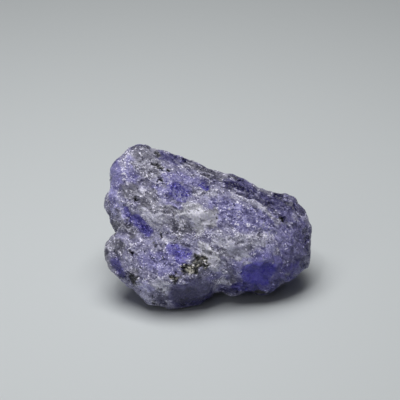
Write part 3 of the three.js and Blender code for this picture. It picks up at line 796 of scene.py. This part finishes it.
FLECK_BLACK = (0.02, 0.02, 0.04, 1)
FLECK_STRENGTH = 0.8
SMOOTH_GLOSS = 0.12  # how much less rough smooth crystal is
REFRACTION = 1.55
SCATTER = 0.8
SCATTER_RADIUS = (0.7, 0.7, 0.7)  # the same for all colours
SCATTER_SCALE = 0.001


class Nodes:
    """Short calls for building one material's node tree."""

    def __init__(self, name):
        self.material = bpy.data.materials.new(name)
        self.material.use_nodes = True
        self.tree = self.material.node_tree
        self.shader = self.tree.nodes["Principled BSDF"]
        self.place = self.add("ShaderNodeTexCoord").outputs["Object"]

    def add(self, kind, **settings):
        node = self.tree.nodes.new(kind)
        for name, value in settings.items():
            setattr(node, name, value)
        return node

    def feed(self, socket, value):
        """Links a socket's input to an output, or sets it to a value."""
        if isinstance(value, bpy.types.NodeSocket):
            self.tree.links.new(value, socket)
        else:
            socket.default_value = value

    def share(self, name, output="Fac"):
        return self.add("ShaderNodeAttribute", attribute_name=name).outputs[output]

    def channel(self, colour, which):
        """One of a colour's three channels, counted from 0."""
        node = self.add("ShaderNodeSeparateColor")
        self.feed(node.inputs[0], colour)
        return node.outputs[which]

    def math(self, operation, a, b=0.0):
        node = self.add("ShaderNodeMath", operation=operation)
        self.feed(node.inputs[0], a)
        self.feed(node.inputs[1], b)
        return node.outputs[0]

    def vector_math(self, operation, a, b, output="Vector"):
        """A vector operation; the factor of SCALE goes into input 3, and any other second value into 1."""
        node = self.add("ShaderNodeVectorMath", operation=operation)
        self.feed(node.inputs[0], a)
        self.feed(node.inputs[3 if operation == "SCALE" else 1], b)
        return node.outputs[output]

    def ramp(self, value, name):
        """Runs smoothly along one of the RAMPS."""
        node = self.add("ShaderNodeMapRange", interpolation_type="SMOOTHSTEP")
        for socket, number in zip(node.inputs, (value, *RAMPS[name])):
            self.feed(socket, number)
        return node.outputs[0]

    def mix(self, share, a, b):
        """A share of colour b over colour a; the colour sockets are inputs 6 and 7 and output 2."""
        node = self.add("ShaderNodeMix", data_type="RGBA")
        self.feed(node.inputs["Factor"], share)
        self.feed(node.inputs[6], a)
        self.feed(node.inputs[7], b)
        return node.outputs[2]

    def vary(self, colour, factor):
        """A colour made lighter or darker by a factor, with about the same blueness left in it."""
        grey = self.add("ShaderNodeRGBToBW")
        self.feed(grey.inputs[0], colour)
        half_grey = self.mix(0.5, colour, grey.outputs[0])
        change = self.vector_math("SCALE", half_grey, self.math("SUBTRACT", factor, 1.0))
        return self.vector_math("ADD", colour, change)

    def clouds(self, scale, detail=4.0):
        node = self.add("ShaderNodeTexNoise")
        self.feed(node.inputs["Vector"], self.place)
        node.inputs["Scale"].default_value = scale
        node.inputs["Detail"].default_value = detail
        node.inputs["Roughness"].default_value = CLOUD_ROUGHNESS
        return node.outputs["Fac"]

    def cells(self, scale):
        node = self.add("ShaderNodeTexVoronoi")
        self.feed(node.inputs["Vector"], self.place)
        node.inputs["Scale"].default_value = scale
        return node

    def facets(self, scale, slope):
        """Height of small flat facets, each tilted its own way."""
        cells = self.cells(scale)
        offset = self.vector_math("SUBTRACT", self.place, cells.outputs["Position"])
        tilt = self.vector_math("SUBTRACT", cells.outputs["Color"], (0.5, 0.5, 0.5))
        return self.math("MULTIPLY", self.vector_math("DOT_PRODUCT", offset, tilt, "Value"), 2 * slope)


def grainy_tint(n, grit):
    """The stone's own tint with its finest grain."""
    grain = n.ramp(n.clouds(GRAIN_SCALE, detail=1.0), "grain")
    change = n.math("MULTIPLY", n.math("SUBTRACT", grain, 1.0), grit)
    return n.vary(n.share("tint", "Color"), n.math("ADD", 1.0, change))


def specks_and_glints(n, grit):
    """How much lighter or darker than its place each speck is: the lighter ones partly pale grains and
    partly painted glints, the darker ones dark grains; the specks lie in clusters.
    """
    speck = n.channel(n.cells(SPECK_SCALE).outputs["Color"], 0)
    light = n.ramp(speck, "light specks and glints")
    dark = n.ramp(n.math("SUBTRACT", 1.0, speck), "dark specks")
    cluster = n.ramp(n.clouds(SPECK_CLUSTERS, detail=2.0), "speck clusters")
    return n.math("MULTIPLY", n.math("SUBTRACT", light, dark), n.math("MULTIPLY", grit, cluster))


def painted_glints(n, crystals):
    """How much lighter each small crystal is painted where it glints, a painted highlight; most get none."""
    cluster = n.ramp(n.clouds(SPARK_CLUSTERS, detail=3.0), "spark clusters")
    chance = n.math("MULTIPLY", n.share("painted_glint_chance"), cluster)
    luck = n.math("ADD", n.channel(crystals, 0), n.math("MULTIPLY", chance, SPARK_CHANCE))
    return n.math("MULTIPLY", n.ramp(luck, "painted_glints"), SPARK_GAIN)


def flecks(n, crystals):
    """Where a small crystal is black."""
    chosen = n.ramp(n.channel(crystals, 2), "flecks")
    cluster = n.ramp(n.clouds(FLECK_CLUSTERS), "fleck clusters")
    return n.math("MULTIPLY", n.math("MULTIPLY", chosen, cluster), FLECK_STRENGTH)


def surface_height(n):
    """Small facets and pitting, flatter where the stone is smooth."""
    pitting = n.math("MULTIPLY", n.clouds(PITTING_SCALE, detail=2.0), PITTING)
    height = n.math("ADD", n.facets(FACET_SCALE, FACET_SLOPE), pitting)
    return n.math("MULTIPLY", height, n.ramp(n.share("rough"), "relief"))


def tanzanite():
    n = Nodes("tanzanite")
    grit = n.share("grit")
    crystals = n.cells(CRYSTAL_SCALE).outputs["Color"]
    # specks, the lighter ones partly painted glints, and painted glints of small crystals lighten or darken
    # the base colour
    gain = n.math("ADD", n.math("ADD", 1.0, specks_and_glints(n, grit)), painted_glints(n, crystals))
    body = n.vary(grainy_tint(n, grit), gain)
    body = n.vector_math("MINIMUM", body, SPARK_LIMIT)
    n.feed(n.shader.inputs["Base Color"], n.mix(flecks(n, crystals), body, FLECK_BLACK))

    gloss = n.ramp(n.clouds(GLOSS_SCALE, detail=3.0), "gloss")
    smooth = n.math("MULTIPLY", n.share("smooth"), SMOOTH_GLOSS)
    n.feed(n.shader.inputs["Roughness"], n.math("SUBTRACT", gloss, smooth))
    bump = n.add("ShaderNodeBump")
    bump.inputs["Strength"].default_value = 1.0
    bump.inputs["Distance"].default_value = 1.0
    n.feed(bump.inputs["Height"], surface_height(n))
    n.feed(n.shader.inputs["Normal"], bump.outputs[0])
    n.shader.inputs["IOR"].default_value = REFRACTION
    n.shader.inputs["Subsurface Weight"].default_value = SCATTER
    n.shader.inputs["Subsurface Radius"].default_value = SCATTER_RADIUS
    n.shader.inputs["Subsurface Scale"].default_value = SCATTER_SCALE
    return n.material


# ---------------------------------------------------------------- floor, lights and camera

VIEW_RISE = math.radians(30)  # the camera's height over the table, as an angle
VIEW_DISTANCE = 0.28
VIEW_WIDTH = 0.0614  # what the frame spans at the stone
FRAME_MIDDLE = (-1.19, 4.3, 0.0)  # what the camera looks at, in face axes, mm
SENSOR = 36.0  # mm, as the lens is
NEAREST = 0.01  # nothing closer to the camera is drawn

FLOOR_HALF = 1.5
FLOOR_COLOUR = (0.60, 0.63, 0.64, 1)
FLOOR_ROUGHNESS = 0.75
WORLD_COLOUR = (0.95, 0.98, 1.0, 1)
WORLD_STRENGTH = 0.03

LIGHTS = {  # place, size and power of each soft square light
    "overhead": ((-0.022, 0.01, 0.20), 0.15, 0.385),
    "fill": ((-0.20, -0.30, 0.22), 0.20, 0.11),
    "sparkle": ((-0.06, -0.10, 0.26), 0.02, 0.05),
}
LIT_POINT = (0, 0, 0.008)  # what the lights face


def from_face(place):
    """A place in face axes, in mm, as one in the solid's frame, in metres."""
    return (np.array(place) @ TO_FACE + FACE_MIDDLE) * MM


def turn_to(thing, target):
    thing.rotation_mode = "QUATERNION"
    thing.rotation_quaternion = (Vector(target) - thing.location).to_track_quat("-Z", "Y")


def add_camera():
    camera = bpy.data.objects.new("camera", bpy.data.cameras.new("camera"))
    bpy.context.scene.collection.objects.link(camera)
    middle = Vector(from_face(FRAME_MIDDLE))
    camera.location = middle + VIEW_DISTANCE * Vector((0, -math.cos(VIEW_RISE), math.sin(VIEW_RISE)))
    turn_to(camera, middle)
    camera.data.sensor_width = SENSOR
    camera.data.lens = SENSOR * VIEW_DISTANCE / VIEW_WIDTH
    camera.data.clip_start = NEAREST
    bpy.context.scene.camera = camera


def add_light(name, place, size, power):
    light = bpy.data.objects.new(name, bpy.data.lights.new(name, "AREA"))
    light.data.size = size
    light.data.energy = power
    bpy.context.scene.collection.objects.link(light)
    light.location = place
    turn_to(light, LIT_POINT)


def floor_material():
    material = bpy.data.materials.new("pale_floor")
    material.use_nodes = True
    shader = material.node_tree.nodes["Principled BSDF"]
    shader.inputs["Base Color"].default_value = FLOOR_COLOUR
    shader.inputs["Roughness"].default_value = FLOOR_ROUGHNESS
    return material


def add_floor():
    corners = [(x * FLOOR_HALF, y * FLOOR_HALF, 0) for x, y in ((-1, -1), (1, -1), (1, 1), (-1, 1))]
    mesh = bpy.data.meshes.new("floor")
    mesh.from_pydata(corners, [], [(0, 1, 2, 3)])
    mesh.materials.append(floor_material())
    floor = bpy.data.objects.new("floor", mesh)
    bpy.context.scene.collection.objects.link(floor)


def add_world():
    world = bpy.data.worlds.new("studio")
    world.use_nodes = True
    background = world.node_tree.nodes["Background"]
    background.inputs["Color"].default_value = WORLD_COLOUR
    background.inputs["Strength"].default_value = WORLD_STRENGTH
    bpy.context.scene.world = world


# ---------------------------------------------------------------- the scene

stone = add_stone_mesh(Surface(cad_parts[NODE]))
stone.data.materials.append(tanzanite())
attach(stone, "root")
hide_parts(NODE)

add_floor()
add_world()
for name, (place, size, power) in LIGHTS.items():
    add_light(name, place, size, power)
add_camera()
bpy.context.scene.view_settings.view_transform = "Standard"
